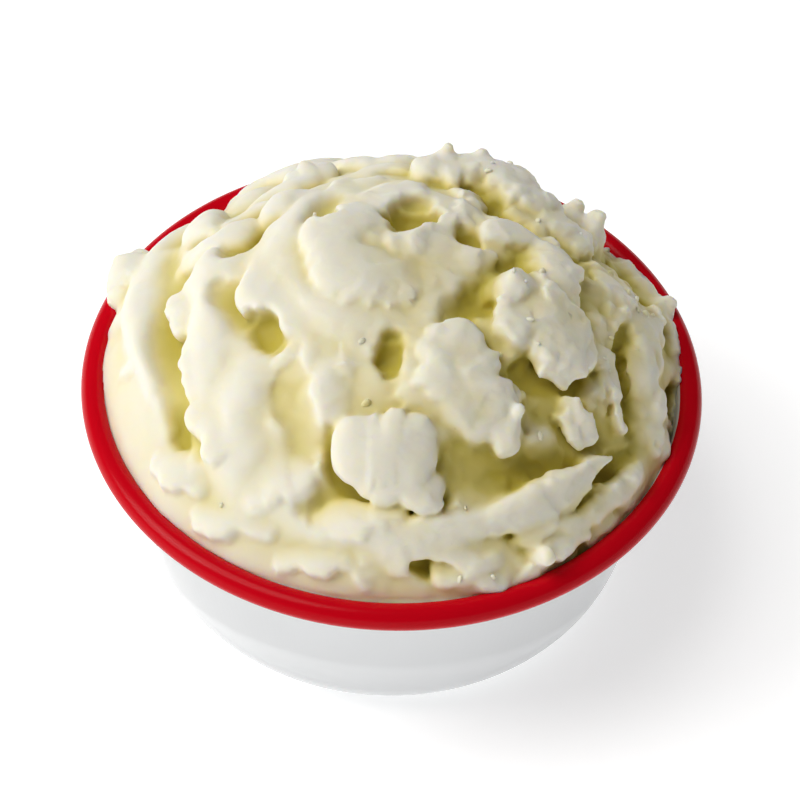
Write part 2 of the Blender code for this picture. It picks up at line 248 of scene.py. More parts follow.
def makeBowl():
    bead = (bowl["rimRadius"] - bowl["beadRadius"], bowl["beadHeight"])
    roll = arc(bead, bowl["beadRadius"], 175, -125, 40)
    below = bowl["beadHeight"] - bowl["beadRadius"] + 0.2
    inner = wallProfile(bowl["wall"])[::-1]
    profile = inner + roll + [(wallRadius(below, 0), below)] + wallProfile(0)
    mesh = bpy.data.meshes.new("enamel_bowl")
    mesh.from_pydata([(r * mm, 0, z * mm) for r, z in profile],
                     [(i, i + 1) for i in range(len(profile) - 1)], [])
    piece = link(bpy.data.objects.new("enamel_bowl_outline", mesh))
    screw = piece.modifiers.new("Turn", "SCREW")
    screw.steps = screw.render_steps = bowl["segments"]
    screw.use_merge_vertices = True
    screw.merge_threshold = 0.00001
    screw.use_smooth_shade = True
    graph = bpy.context.evaluated_depsgraph_get()
    turned = bpy.data.meshes.new_from_object(piece.evaluated_get(graph))
    bpy.data.objects.remove(piece)
    turned.name = "enamel_bowl"
    turned.materials.append(enamelMaterial())
    turned.shade_smooth()
    finished = link(bpy.data.objects.new("enamel_bowl", turned))
    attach(finished, "root")
    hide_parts("bowl")
    print("bowl:", len(turned.polygons), "faces")


# ---------------------------------------------------------------- mash

heap = {
    "top": 92.0,          # plain dome under the folds
    "edge": 55.0,         # where it meets the wall
    "radius": 65.0,
    "fullness": 0.76,     # the front bulges
    "backFullness": 1.0,  # and the back runs down straighter
    "voxel": 0.55,
    "kept": 0.62,         # share of the fine faces kept, the flat parts going first
    "floor": 46.0,        # below this the heap just fills the bowl
    "relief": 0.6,        # depth of the fine uneven surface
    "reliefSize": 1.6,
    "facets": ((9.0, 0.15), (3.4, 0.10)),  # size of the broken faces and how much they tilt
    "crisp": 16.0,        # how sharply one face ends against the next
    "slump": 2.0,         # how much lower it lies towards the right
    "seed": 11,
}

# Each sweep of the spoon is an arc: x, y, heading, turn, length, width, thickness, lift, lean.
# Lengths are in mm; headings are in degrees, 0 along +X; a turn above 0 is to the left.
# A fold is a band laid on the heap: lift raises its centre and lean lifts its left edge.
broadFolds = {
    "left shoulder": (-57, 24, -100, 40, 52, 9, 5.0, -2.6, 0),
    "left band": (-40, 22, -95, 15, 58, 15, 6.0, -3.6, 0),
    "upper left": (-19, 28, -105, -5, 35, 13, 5.0, -3.0, 0),
    "middle sweep": (-25, 2, -75, 65, 38, 13, 5.0, -2.8, 0),
    "back rise": (30, 42, 155, 25, 34, 18, 6.0, -3.0, 0),
    "right rim fill": (51, 36, -60, -10, 34, 12, 5.5, -1.4, 0),
    "left rim fill": (-49, 38, -112, 8, 28, 14, 5.0, -1.6, 0),
    "left spill": (-60, 27, -108, 6, 12, 14, 5.0, 1.2, 0),
    "back left fill": (-39, 49, 22, -12, 28, 13, 5.5, -0.6, 0),
    "front left": (-33, -22, -85, 10, 32, 15, 6.0, -3.8, 0),
    "centre left": (-14, -26, -92, 0, 24, 12, 5.0, -3.0, 0),
    "right shoulder": (43, 18, -60, -20, 32, 14, 5.0, -2.4, 0),
    "right edge": (54, 14, -80, -20, 34, 10, 4.5, -2.0, 0),
    "front band": (-30, -50, -15, 15, 60, 14, 5.0, -3.0, 0),
}
# Valleys lean so that one side is steep and the other fades out.
valleys = {
    "left groove": (-51.3, 17, -92, 30, 58, 8.5, 4.0, 0.7, -10),
    "upper hollow": (-25, 25, 228, 15, 22, 10, 5.0, 0.6, 8),
    "hook valley": (-37, -4, -70, 50, 22, 10, 3.2, 0.8, -14),
    "crown groove": (-15, 20, 240, 105, 40, 6.5, 3.2, 0.7, -14),
    "chunk crevice": (25.5, 5, -108, -25, 26, 8.5, 4.6, 0.8, -8),
    "under chunk": (23, -25, 8, 15, 20, 9, 4.0, 0.8, -12),
    "right slit": (49, -4, -85, 10, 22, 8, 4.0, 0.4, -14),
    "lump groove": (-12, -40, -85, 125, 32, 6, 4.2, 0.7, -8),
    "long trough": (12, -43, -8, 45, 36, 13, 4.0, 1.2, 6),
    "band trough": (52, -28, 235, -15, 26, 9, 4.0, 0.6, -10),
    "front hollow": (-17, -53, -5, 10, 13, 9, 3.0, 0.8, 8),
    "soft trough": (-21, -29, -85, 15, 16, 8, 1.4, 0.4, 12),
    "back hollow": (13, 28, -32, -8, 22, 7, 3.8, 0.8, -8),
    "slope hollow": (30, -29, -10, 20, 22, 11, 3.6, 1.0, 6),
    "front right hollow": (22, -52, 2, 15, 18, 8, 3.0, 0.6, 4),
    "wall gap": (65, -2, -95, -16, 20, 5, 5.0, -2, 0),
}
lips = {
    "crown": (-8.0, 16.0, 222, 150, 38, 18, 4.2, -1.4, -8),
    "hook": (-28, 1, -95, 60, 28, 12, 3.6, -1.4, -12),
    "long band": (47, -34, 228, -48, 56, 9, 3.6, -0.8, -12),
    "outer band": (55, -29, 235, -25, 38, 7, 3.2, -0.8, -12),
    "front edge": (9, -59.5, 4, 12, 16, 6, 3.4, -0.8, 0),
}
# Whole lumps stand clear all round: x, y, heading, length, width, height, lean.
lumps = {
    "front lump": (-4.5, -43.5, -4, 7, 16, 4.2, -4),
    "front lump end": (-2, -48, -12, 9, 10, 3.2, -4),
    "lobe": (12, -25, -65, 8, 17, 3.6, 2),
    "lobe foot": (15.5, -33.5, -60, 4, 9, 3.0, 0),
    "torn chunk": (27.5, -13.5, -15, 7, 17, 4.2, -8),
    "upper chunk": (20, 10, 5, 9, 7.5, 2.6, -4),
    "right chunk": (33, 6, -85, 11, 12, 3.6, 6),
    "back knob": (7.5, 34, 0, 5, 13, 5.6, 14),
    "back chunk": (16, 37, -32, 14, 15, 7.4, 8),
    "back chunk end": (31, 27, -40, 9, 11, 5.0, 12),
    "small flake": (22, -36.5, -60, 3, 7, 2.8, 8),
    "white crumb": (37.5, -30, -40, 3, 8, 2.6, 10),
}
# Torn points: x, y, the way they lean, how far, width at the foot, height.
points = {
    "back knob point": (8.5, 37, 20, 1.0, 13.0, 7.2),
    "back chunk point": (17, 37, 120, 1.0, 13.0, 7.6),
    "back chunk shoulder": (25, 33, 60, 1.0, 13.0, 6.0),
    "right peak": (43, 31, 60, 1.0, 12.0, 7.4),
    "right peak foot": (38, 34, 40, 1.0, 12.0, 5.0),
    "rim peak": (60, 18, 40, 1.0, 11.0, 4.6),
    "band tip tooth": (32, -53, -70, 1.5, 6.0, 2.6),
    "small flake point": (24, -34.5, 40, 1.0, 5.0, 3.4),
    "chunk point": (24, -6, 150, 1.0, 12.0, 4.2),
}
pockets = {
    "hook pocket": (-30, -15, -50, 0, 9, 7, 4.4, 0.4, 0),
    "groove end": (-47, -27, -68, 0, 12, 4.5, 3.6, 0.3, 0),
    "crown pocket": (2.5, 17.5, -97, 0, 8, 12.5, 6.8, 0.2, 8),
    "crown notch": (-16, 13, -95, 0, 5, 6, 4.4, 0.4, 0),
    "crown slit": (13.5, 10, -62, 0, 6, 5.5, 4.6, 0, 10),
    "dark pocket": (38.5, -7, -90, 0, 5, 5.5, 5.6, 0, 0),
    "chunk slit": (31, -20, 22, 0, 9, 3.5, 5.6, 0, 10),
    "middle pocket": (-0.5, -23, -88, 0, 6, 7, 4.0, 0.4, 0),
    "lump shadow": (-12, -47, -45, 60, 14, 4.5, 4.6, 0.5, 0),
    "band pocket": (48, -32, 235, 0, 8, 4.5, 5.0, 0.2, 0),
    "rim hollow": (6, -61, 0, 0, 8, 5, 4.0, 0, 0),
}
# Torn flakes lie tilted: x, y, facing, across, along, rise. The edge that faces that way stands
# clear of the heap by the rise and the opposite edge is sunk in it.
flakes = {
    "lump tail": (7, -40, -60, 12, 10, 2.4),
    "chunk shoulder": (24, -13, 200, 10, 9, 3.0),
    "chunk foot": (36, -17, -60, 12, 9, 2.8),
    "chunk top": (33, 11, 30, 12, 9, 3.2),
    "back knob foot": (9, 34, 240, 15, 10, 3.2),
    "back chunk foot": (24, 30, 250, 20, 10, 3.2),
    "between chunks": (15, 24, 225, 12, 10, 2.8),
    "back left": (-22, 42, 110, 16, 12, 6.5),
    "slope flake": (42, -13, -40, 9, 12, 2.8),
    "slope foot": (45, -21, -70, 9, 8, 3.0),
    "right saddle": (38, 31, 40, 18, 11, 5.0),
    "side flake": (56, 6, 10, 17, 12, 3.6),
    "side lower": (55, -12, 10, 16, 9, 3.2),
    "left spill high": (-53, 33, 130, 13, 11, 2.0),
    "band tip": (36, -50, -60, 18, 9, 3.8),
    "front left plate": (-34, -37, -130, 24, 13, 3.2),
    "lower left plate": (-41, -20, -170, 22, 10, 2.0),
    "band end": (29, -56, -80, 7, 7, 3.0),
    "front left lump": (-23, -48, -80, 17, 11, 3.4),
    "front middle lump": (4, -57, -70, 14, 8, 3.0),
    "pocket side": (14, 17, 190, 9, 7, 2.6),
    "groove flake": (-46, -6, 190, 15, 9, 1.8),
    "front plate": (-6, -55, -80, 22, 9, 3.2),
    "left corner plate": (-43, -41, -130, 18, 9, 2.8),
    "rim plate": (18, -60, -80, 18, 8, 2.8),
    "low left plate": (-31, -52, -110, 20, 8, 3.0),
    "low front plate": (-15, -60, -95, 18, 7, 2.8),
}
farSide = {"seed": 7, "folds": 12, "scoops": 9}


def grain(shape, spacing, seed):
    # Smooth random values, about -0.6 to 0.6: a coarse random lattice run through cubic splines.
    chance = np.random.default_rng(seed)
    counts = [int(n / spacing) + 5 for n in shape]
    values = chance.uniform(-1, 1, counts).astype(np.float32)
    for axis, n in enumerate(shape):
        place = np.arange(n, dtype=np.float32) / spacing + 1
        cell = np.floor(place).astype(int)
        t = place - cell
        weights = np.zeros((n, counts[axis]), np.float32)
        rows = np.arange(n)
        weights[rows, cell - 1] = (1 - t) ** 3 / 6
        weights[rows, cell] = (3 * t ** 3 - 6 * t ** 2 + 4) / 6
        weights[rows, cell + 1] = (-3 * t ** 3 + 3 * t ** 2 + 3 * t + 1) / 6
        weights[rows, cell + 2] = t ** 3 / 6
        values = np.moveaxis(np.tensordot(weights, values, (1, axis)), 0, axis)
    return np.ascontiguousarray(values)


def slump(x, y):
    return heap["slump"] * np.clip((x + 0.25 * y) / heap["radius"], 0, 1) ** 2


def fullness(y):
    t = np.clip(y / 40, 0, 1)
    return heap["fullness"] + (heap["backFullness"] - heap["fullness"]) * t * t * (3 - 2 * t)


def domeHeight(x, y):
    inside = np.clip(1 - (x * x + y * y) / heap["radius"] ** 2, 0.0, 1.0)
    return heap["edge"] + (heap["top"] - heap["edge"]) * inside ** fullness(y) - slump(x, y)


def domeNormal(x, y):
    step = 0.5
    slopeX = (domeHeight(x + step, y) - domeHeight(x - step, y)) / (2 * step)
    slopeY = (domeHeight(x, y + step) - domeHeight(x, y - step)) / (2 * step)
    normal = np.stack([-slopeX, -slopeY, np.ones_like(slopeX)], -1)
    return normal / np.linalg.norm(normal, axis=-1, keepdims=True)


def sweepPath(sweep, steps=14):
    x, y, heading, turn, length = sweep[:5]
    angles = np.radians(heading + turn * (np.arange(steps) + 0.5) / steps)
    px = np.concatenate([[x], x + np.cumsum(np.cos(angles)) * length / steps])
    py = np.concatenate([[y], y + np.cumsum(np.sin(angles)) * length / steps])
    # A path that would leave the heap is drawn in to its edge.
    reach = np.hypot(px, py)
    keep = np.minimum(1.0, (heap["radius"] - 0.6) / reach)
    return np.stack([px, py, domeHeight(px * keep, py * keep)], -1)


def sweepDistance(sweep, places, tears, phase, blunt, endTaper):
    # Rough distance from each place to a band that follows the sweep. Its section is an oval when
    # blunt is 2 and nearer a slab with rounded corners above that; tears roughen its outline.
    width, thickness, lift, lean = sweep[5:9]
    path = sweepPath(sweep)
    count = len(path) - 1
    best = np.full(places[0].shape, 1e9, np.float32)
    along = np.zeros_like(best)
    local = [np.zeros_like(best) for _ in range(3)]
    for i in range(count):
        start, end = path[i], path[i + 1]
        middle = 0.5 * (start + end)
        run = end - start
        size = np.linalg.norm(run)
        ahead = run / size
        normal = domeNormal(middle[0], middle[1])
        normal = normal - ahead * (normal @ ahead)
        normal /= np.linalg.norm(normal)
        left = np.cross(normal, ahead)
        angle = math.radians(lean)
        side = left * math.cos(angle) + normal * math.sin(angle)
        rise = normal * math.cos(angle) - left * math.sin(angle)
        base = start + normal * lift
        dx, dy, dz = (places[k] - base[k] for k in range(3))
        t = (dx * ahead[0] + dy * ahead[1] + dz * ahead[2] + tears[0]) / size
        inside = np.clip(t, 0, 1)
        gap = (t - inside) * size
        s = dx * side[0] + dy * side[1] + dz * side[2] + tears[1]
        n = dx * rise[0] + dy * rise[1] + dz * rise[2]
        distance = s * s + n * n + gap * gap
        nearer = distance < best
        best = np.where(nearer, distance, best)
        along = np.where(nearer, (i + inside) / count, along)
        for k, value in enumerate((s, n, gap)):
            local[k] = np.where(nearer, value, local[k])
    s, n, gap = local
    taper = endTaper + (1 - endTaper) * np.clip(np.sin(np.pi * along), 0, 1) ** 0.6
    wave = min(1.0, sweep[4] / 18)
    uneven = 1 + wave * (0.16 * np.sin(along * 7 + phase) + 0.09 * np.sin(along * 17 + 2 * phase))
    half, deep = 0.5 * width * taper * uneven, thickness * taper
    s = s + 0.12 * width * wave * np.sin(along * 5 + 3 * phase)
    a, b, c = (np.abs(v) + 1e-4 for v in (s / half, n / deep, gap / half))
    size = (a ** blunt + b ** blunt + c ** blunt) ** (1 / blunt)
    slope = size ** (1 - blunt) * np.sqrt((a ** (blunt - 1) / half) ** 2 + (b ** (blunt - 1) / deep) ** 2
                                          + (c ** (blunt - 1) / half) ** 2)
    return (size - 1) / slope


def farSweeps(count, thickness, width, lift, lean):
    sweeps = []
    for i in range(count):
        bearing = 22 + 136 * (i + 0.5) / count + random.uniform(-6, 6)
        radius = random.uniform(32, 58)
        x, y = radius * math.cos(math.radians(bearing)), radius * math.sin(math.radians(bearing))
        heading = bearing + 90 + random.uniform(-35, 35)
        sweeps.append((x, y, heading, random.uniform(-50, 60), random.uniform(12, 28),
                       random.uniform(*width), random.uniform(*thickness), random.uniform(*lift),
                       random.uniform(*lean)))
    return sweeps


# More flakes by chance: count, across, along, rise, and whether only on the ragged side.
shingles = {
    "broad": (44, (13, 24), (7, 13), (0.9, 2.0), False),
    "torn": (120, (7, 14), (4, 8), (0.9, 2.2), True),
}


def flakeSweep(flake):
    x, y, facing, across, along, rise = flake
    heading = math.radians(facing - 90)
    length = max(0.2, across - along)
    thick = 2.4 + 0.25 * rise
    lean = math.degrees(math.atan2(1.25 * rise, along)) + 2
    return (x - 0.5 * length * math.cos(heading), y - 0.5 * length * math.sin(heading), facing - 90, 0,
            length, along, thick, 0.5 * rise - thick, lean)


def lumpSweep(lump):
    x, y, heading, length, width, height, lean = lump
    thick = 0.6 * height + 1.0
    return (x, y, heading, 0, length, width, thick, height - thick, lean)


def pointDistance(point, places):  # from a foot sunk in the heap to a narrow tip
    x, y, heading, reach, width, height = point
    foot = np.array([x, y, domeHeight(x, y) - 1.0])
    away = np.array([math.cos(math.radians(heading)), math.sin(math.radians(heading)), 0.0]) * reach
    run = domeNormal(x, y) * (0.6 * height + 1.0) + np.array([0, 0, 0.4 * height]) + away
    offset = [places[k] - foot[k] for k in range(3)]
    t = np.clip(sum(offset[k] * run[k] for k in range(3)) / (run @ run), 0, 1)
    gap = np.sqrt(sum((offset[k] - t * run[k]) ** 2 for k in range(3)))
    return gap - 0.5 * width * (1 - t) - 1.6 * t


def shingle(kind):
    count, across, along, rise, raggedOnly = kind
    sweeps = []
    while len(sweeps) < count:
        bearing = random.uniform(0, 2 * math.pi)
        radius = 62 * math.sqrt(random.random())
        x, y = radius * math.cos(bearing), radius * math.sin(bearing)
        if raggedOnly and random.random() > 0.15 + 0.85 * max(0.0, min(1.0, max(x + 15, -y - 15) / 45)):
            continue
        facing = math.degrees(math.atan2(y - 6, x)) + random.uniform(-80, 80)
        long = random.uniform(*along)
        sweeps.append(flakeSweep((x, y, facing, long + random.uniform(0, across[1] - across[0]), long,
                                  random.uniform(*rise))))
    return sweeps


def facets(places, size, tilt, seed):
    # Broken faces: every place takes the tilt of the nearest of many scattered centres, so
    # neighbouring faces meet in small steps.
    chance = np.random.default_rng(seed)
    places = places / size
    places = places - places.min(0) + 1
    counts = tuple(np.floor(places.max(0)).astype(int) + 3)
    jitter = chance.random(counts + (3,), np.float32)
    slopes = chance.uniform(-tilt, tilt, counts + (3,)).astype(np.float32)
    cell = np.floor(places).astype(int)
    total = np.full(len(places), 1e-9)
    rise = np.zeros_like(total)
    for step in np.ndindex(3, 3, 3):
        near = cell + step - 1
        key = (near[:, 0], near[:, 1], near[:, 2])
        gap = places - near - jitter[key]
        weight = np.exp(-heap["crisp"] * (gap * gap).sum(1))
        total += weight
        rise += weight * (gap * slopes[key]).sum(1)
    return rise / total * size


def softMin(a, b, k):
    h = np.clip(0.5 + 0.5 * (b - a) / k, 0, 1)
    return b + (a - b) * h - k * h * (1 - h)


def raggedness(x, y):  # the right side is torn and ragged, the upper left is smooth and creamy
    front = np.clip((-y - 30) / 20, 0, 1) * np.clip((60 - x) / 30, 0, 1)
    return np.clip(0.55 + x / 80 - (y - 10) / 400, 0.3, 1.2) * (1 - 0.45 * front)


def heapField():
    voxel = heap["voxel"]
    low = np.array([-72.0, -72.0, heap["floor"] - heap["voxel"]])
    high = np.array([72.0, 72.0, 106.0])
    shape = tuple(int(n) for n in np.ceil((high - low) / voxel))
    axes = [low[k] + voxel * np.arange(shape[k], dtype=np.float32) for k in range(3)]
    x, y, z = np.meshgrid(*axes, indexing="ij")

    ragged = raggedness(x, y)
    warped = []
    for k, base in enumerate((x, y, z)):
        slow = grain(shape, 13 / voxel, heap["seed"] + k)
        quick = grain(shape, 5 / voxel, heap["seed"] + 3 + k)
        warped.append(base + 1.8 * slow + 0.9 * ragged * quick)
    wx, wy, wz = warped
    tearing = [ragged * (2.0 * grain(shape, 4.5 / voxel, heap["seed"] + 20 + k)
                         + 1.6 * grain(shape, 1.4 / voxel, heap["seed"] + 30 + k)) for k in range(2)]

    r = np.sqrt(wx * wx + wy * wy)
    high = np.maximum(wz + slump(wx, wy) - heap["edge"], 0) / (heap["top"] - heap["edge"])
    out = r / heap["radius"]
    power = 1 / fullness(wy)
    level = out ** 2 + high ** power - 1
    slope = np.sqrt((2 * out / heap["radius"]) ** 2
                    + (power * high ** (power - 1) / (heap["top"] - heap["edge"])) ** 2) + 1e-6
    field = (level / slope).astype(np.float32)
    scooped = np.zeros_like(field)  # 1 where the surface has been scooped out; the colour there is painted shade, darker and yellower

    def boxAround(path, margin):
        first = [max(0, int((path[:, k].min() - margin - low[k]) / voxel)) for k in range(3)]
        last = [min(shape[k], int((path[:, k].max() + margin - low[k]) / voxel) + 2) for k in range(3)]
        return tuple(slice(a, b) for a, b in zip(first, last))

    def shaped(sweep, soft, cut, blunt, endTaper=0.5):
        box = boxAround(sweepPath(sweep), max(sweep[5] / 2, sweep[6]) + abs(sweep[7]) + 4)
        torn = min(1.0, sweep[5] / 14)
        distance = sweepDistance(sweep, [wx[box], wy[box], wz[box]], [torn * tear[box] for tear in tearing],
                                 sweep[0] + sweep[1], blunt, endTaper)
        if cut:
            field[box] = -softMin(-field[box], distance, soft)
            scooped[box] = np.maximum(scooped[box], np.clip(1 - distance / 1.2, 0, 1))
        else:
            field[box] = softMin(field[box], distance, soft)
            scooped[box] *= np.clip(distance / 1.2, 0, 1)

    crumbled = grain(shape, 2.2 / voxel, heap["seed"] + 40)
    random.seed(farSide["seed"])
    farFolds = farSweeps(farSide["folds"], (4, 6), (8, 14), (-3.2, -0.8), (-15, 15))
    farScoops = farSweeps(farSide["scoops"], (3, 4.5), (5, 9), (0, 0), (0, 0))
    for sweep in broadFolds.values():
        shaped(sweep, 2.5, False, 2.0)
    for sweep in shingle(shingles["broad"]):
        shaped(sweep, 1.6, False, 2.4, 0.8)
    for sweep in shingle(shingles["torn"]):
        shaped(sweep, 0.8, False, 3.0, 0.85)
    for sweep in list(valleys.values()) + farScoops:
        shaped(sweep, 3.2, True, 2.3, 0.3)
    for sweep in list(lips.values()) + farFolds:
        shaped(sweep, 1.0, False, 2.6, 0.35)
    for sweep in pockets.values():
        shaped(sweep, 1.8, True, 2.6, 0.55)
    for flake in flakes.values():
        shaped(flakeSweep(flake), 0.8, False, 3.0, 0.85)
    for lump in lumps.values():
        shaped(lumpSweep(lump), 1.0, False, 2.7, 0.9)
    for point in points.values():
        box = boxAround(np.array([[point[0], point[1], domeHeight(point[0], point[1])]]), point[5] + 6)
        distance = pointDistance(point, [w[box] + 0.4 * tear[box] for w, tear in
                                         zip((wx, wy, wz), tearing + tearing[:1])])
        field[box] = softMin(field[box], distance + 0.8 * crumbled[box], 2.0)

    field += 0.7 * grain(shape, 9 / voxel, 40)
    close = np.nonzero(np.abs(field) < 3.0)
    spots = np.stack([w[close] for w in (wx, wy, wz)], -1)
    spots[:, :2] += np.stack([0.35 * tear[close] for tear in tearing], -1)
    share = ragged[close] ** 1.5
    for size, tilt in heap["facets"]:
        field[close] += share * facets(spots, size, tilt, int(10 * size))

    # The wall holds the heap in up to the rim; it reaches a little into the wall so no gap shows.
    wall = np.sqrt(x * x + y * y) - wallRadius(z, bowl["wall"]) - 0.4
    above = np.clip((z - bowl["beadHeight"] - 1.5) / 3.0, 0, 1) * 6
    field = np.maximum(field, wall - above)
    return field, scooped, low, voxel


def blur(values, reach):
    for axis in range(3):
        for _ in range(2):
            padded = np.concatenate([np.repeat(np.take(values, [0], axis), reach + 1, axis), values,
                                     np.repeat(np.take(values, [-1], axis), reach, axis)], axis)
            total = np.cumsum(padded, axis, dtype=np.float64)
            span = 2 * reach + 1
            upper = np.take(total, range(span, total.shape[axis]), axis)
            lower = np.take(total, range(0, total.shape[axis] - span), axis)
            values = ((upper - lower) / span).astype(np.float32)
    return values


def sampled(values, places):
    cell = np.clip(np.floor(places).astype(int), 0, np.array(values.shape) - 2)
    t = np.clip(places - cell, 0, 1)
    result = 0
    for corner in range(8):
        bits = [(corner >> k) & 1 for k in range(3)]
        weight = np.prod([t[:, k] if bits[k] else 1 - t[:, k] for k in range(3)], axis=0)
        result = result + weight * values[cell[:, 0] + bits[0], cell[:, 1] + bits[1], cell[:, 2] + bits[2]]
    return result


def mashMaterial(name, depth):
    # Boiled potato beaten with butter and milk: moist, pale cream, light soaks in a few millimetres.
    # Its colour holds painted shade: hollows, creases, the low edge by the rim and the shaded right side
    # are painted a darker, deeper butter yellow while the ridges stay almost white.
    material = bpy.data.materials.new(name)
    material.use_nodes = True
    tree = material.node_tree
    shader = tree.nodes["Principled BSDF"]
    hollow = addNode(tree, "ShaderNodeAttribute", {"attribute_name": "hollow"})
    ramp = addNode(tree, "ShaderNodeValToRGB", links={0: hollow.outputs["Fac"]})
    # Painted shade: the higher the hollow value, the darker and yellower the colour.
    stops = [(0.0, "#F5F0E0"), (0.25, "#F2EACC"), (0.5, "#EADEA8"), (0.75, "#DACC7C"), (1.0, "#C2B24E")]
    ramp.color_ramp.elements[0].position = stops[0][0]
    ramp.color_ramp.elements[0].color = srgb(stops[0][1])
    ramp.color_ramp.elements[1].position = stops[-1][0]
    ramp.color_ramp.elements[1].color = srgb(stops[-1][1])
    for position, code in stops[1:-1]:
        ramp.color_ramp.elements.new(position).color = srgb(code)
    tree.links.new(ramp.outputs[0], shader.inputs["Base Color"])
    shader.inputs["Roughness"].default_value = 0.55
    shader.inputs["Specular IOR Level"].default_value = 0.25
    shader.inputs["IOR"].default_value = 1.40
    shader.inputs["Subsurface Weight"].default_value = depth
    shader.inputs["Subsurface Radius"].default_value = (1.0, 0.85, 0.45)
    shader.inputs["Subsurface Scale"].default_value = 1.6 * mm
    return material


def dropSpecks(shape):
    # Rough edges leave a few loose specks; only the heap itself, the largest part, is kept.
    unseen = set(shape.verts)
    parts = []
    while unseen:
        part = [unseen.pop()]
        for vertex in part:
            for edge in vertex.link_edges:
                other = edge.other_vert(vertex)
                if other in unseen:
                    unseen.remove(other)
                    part.append(other)
        parts.append(part)
    largest = max(parts, key=len)
    loose = [vertex for part in parts if part is not largest for vertex in part]
    bmesh.ops.delete(shape, geom=loose, context="VERTS")


def fillBowl(mesh):
    # The heap is cut off level below the rim; its rim is drawn down inside the bowl and closed.
    shape = bmesh.new()
    shape.from_mesh(mesh)
    bottom = (heap["floor"] + 0.8 * heap["voxel"]) * mm
    flat = [face for face in shape.faces if all(v.co.z < bottom for v in face.verts)]
    bmesh.ops.delete(shape, geom=flat, context="FACES")
    dropSpecks(shape)
    ring = [edge for edge in shape.edges if edge.is_boundary]
    down = [point for point in wallProfile(bowl["wall"] + 0.2)[::2] if point[0] > 1]
    for radius, height in [(wallRadius(40, bowl["wall"] + 0.2), 40), (wallRadius(28, bowl["wall"] + 0.2), 28)] + down:
        grown = bmesh.ops.extrude_edge_only(shape, edges=ring)["geom"]
        ring = [item for item in grown if isinstance(item, bmesh.types.BMEdge)]
        for vertex in (item for item in grown if isinstance(item, bmesh.types.BMVert)):
            scale = radius * mm / math.hypot(vertex.co.x, vertex.co.y)
            vertex.co = (vertex.co.x * scale, vertex.co.y * scale, height * mm)
    last = {vertex for edge in ring for vertex in edge.verts}
    bmesh.ops.pointmerge(shape, verts=list(last), merge_co=(0, 0, (bowl["wall"] + 0.2) * mm))
    bmesh.ops.recalc_face_normals(shape, faces=shape.faces)
    shape.to_mesh(mesh)
    shape.free()


def socket(tree, name, kind, way="INPUT"):
    return tree.interface.new_socket(name=name, in_out=way, socket_type=kind)


def applied(piece, tree, settings, name):
    # Run a node tree on the piece with its inputs set by socket, and keep the plain mesh it makes.
    modifier = piece.modifiers.new(tree.name, "NODES")
    modifier.node_group = tree
    for item in tree.interface.items_tree:
        if item.in_out == "INPUT" and item.name in settings:
            modifier[item.identifier] = settings[item.name]
    graph = bpy.context.evaluated_depsgraph_get()
    mesh = bpy.data.meshes.new_from_object(piece.evaluated_get(graph))
    piece.modifiers.remove(modifier)
    mesh.name = name
    return mesh


def reliefTree(material):  # fine unevenness, deepest on ridges and torn edges
    tree = bpy.data.node_groups.new("mash relief", "GeometryNodeTree")
    socket(tree, "Geometry", "NodeSocketGeometry")
    socket(tree, "Depth", "NodeSocketFloat")
    socket(tree, "Size", "NodeSocketFloat")
    socket(tree, "Geometry", "NodeSocketGeometry", "OUTPUT")
    start = addNode(tree, "NodeGroupInput")
    hollow = addNode(tree, "GeometryNodeInputNamedAttribute", {"data_type": "FLOAT"}, values={"Name": "hollow"})
    torn = addNode(tree, "GeometryNodeInputNamedAttribute", {"data_type": "FLOAT"}, values={"Name": "torn"})
    perMetre = addNode(tree, "ShaderNodeMath", {"operation": "DIVIDE"}, {1: start.outputs["Size"]}, {0: 1.0})
    noise = addNode(tree, "ShaderNodeTexNoise", links={"Scale": perMetre.outputs[0]},
                    values={"Detail": 2.0, "Roughness": 0.6})
    centred = addNode(tree, "ShaderNodeVectorMath", {"operation": "SUBTRACT"}, {0: noise.outputs["Color"]})
    centred.inputs[1].default_value = (0.5, 0.5, 0.5)
    exposed = addNode(tree, "ShaderNodeMapRange", links={"Value": hollow.outputs[0]},
                      values={"From Max": 0.8, "To Min": 1.0, "To Max": 0.35})
    strength = addNode(tree, "ShaderNodeMath", {"operation": "MULTIPLY"},
                       {0: exposed.outputs[0], 1: torn.outputs[0]})
    depth = addNode(tree, "ShaderNodeMath", {"operation": "MULTIPLY"},
                    {0: strength.outputs[0], 1: start.outputs["Depth"]})
    offset = addNode(tree, "ShaderNodeVectorMath", {"operation": "SCALE"},
                     {0: centred.outputs[0], "Scale": depth.outputs[0]})
    move = addNode(tree, "GeometryNodeSetPosition",
                   links={"Geometry": start.outputs["Geometry"], "Offset": offset.outputs[0]})
    real = addNode(tree, "GeometryNodeRealizeInstances", links={"Geometry": move.outputs[0]})
    paint = addNode(tree, "GeometryNodeSetMaterial", links={"Geometry": real.outputs[0]},
                    values={"Material": material})
    addNode(tree, "NodeGroupOutput", links={"Geometry": paint.outputs[0]})
    return tree


crumbs = {
    "density": 25000.0,   # per square metre where the heap is most torn
    "smallest": 0.7,
    "largest": 1.7,
    "ragged": 0.7,
    "seed": 5,
}


